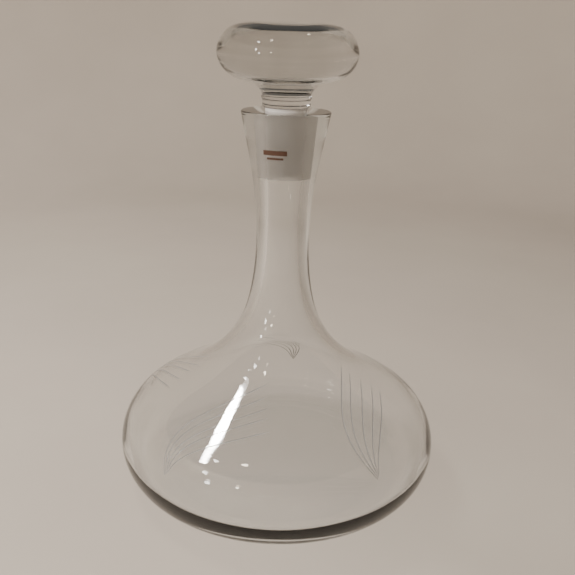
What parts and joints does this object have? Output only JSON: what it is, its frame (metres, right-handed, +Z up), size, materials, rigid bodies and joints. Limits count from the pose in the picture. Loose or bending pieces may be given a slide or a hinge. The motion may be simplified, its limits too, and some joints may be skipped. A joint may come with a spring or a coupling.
{
  "type": "wine decanter",
  "caption": "Broad-based glass decanter with a tall thick neck, flared mouth, ground joint and solid disc stopper that lifts out.",
  "frame": {"origin": "centre of the foot, on the surface that the decanter stands on", "axes": "+Z up the axis of the neck, -Y towards the front, where the printed mark is"},
  "size_m": [0.19, 0.19, 0.2648],
  "materials": {
    "vessel_glass": "clear, fire-polished, with a ground band inside the mouth and a wheel-cut pattern on the shoulder",
    "stopper_glass": "clear and polished, with a frosted ground plug",
    "mark_print": "thin fired print"
  },
  "bodies": {
    "vessel": {"vessel": "vessel_glass", "neck_mark": "mark_print"},
    "stopper": {"stopper": "stopper_glass"}
  },
  "joints": [
    {"name": "stopper_lift", "type": "slide", "parent": "vessel", "child": "stopper", "axis": [0, 0, 1], "range_m": [0, 0.06]}
  ]
}
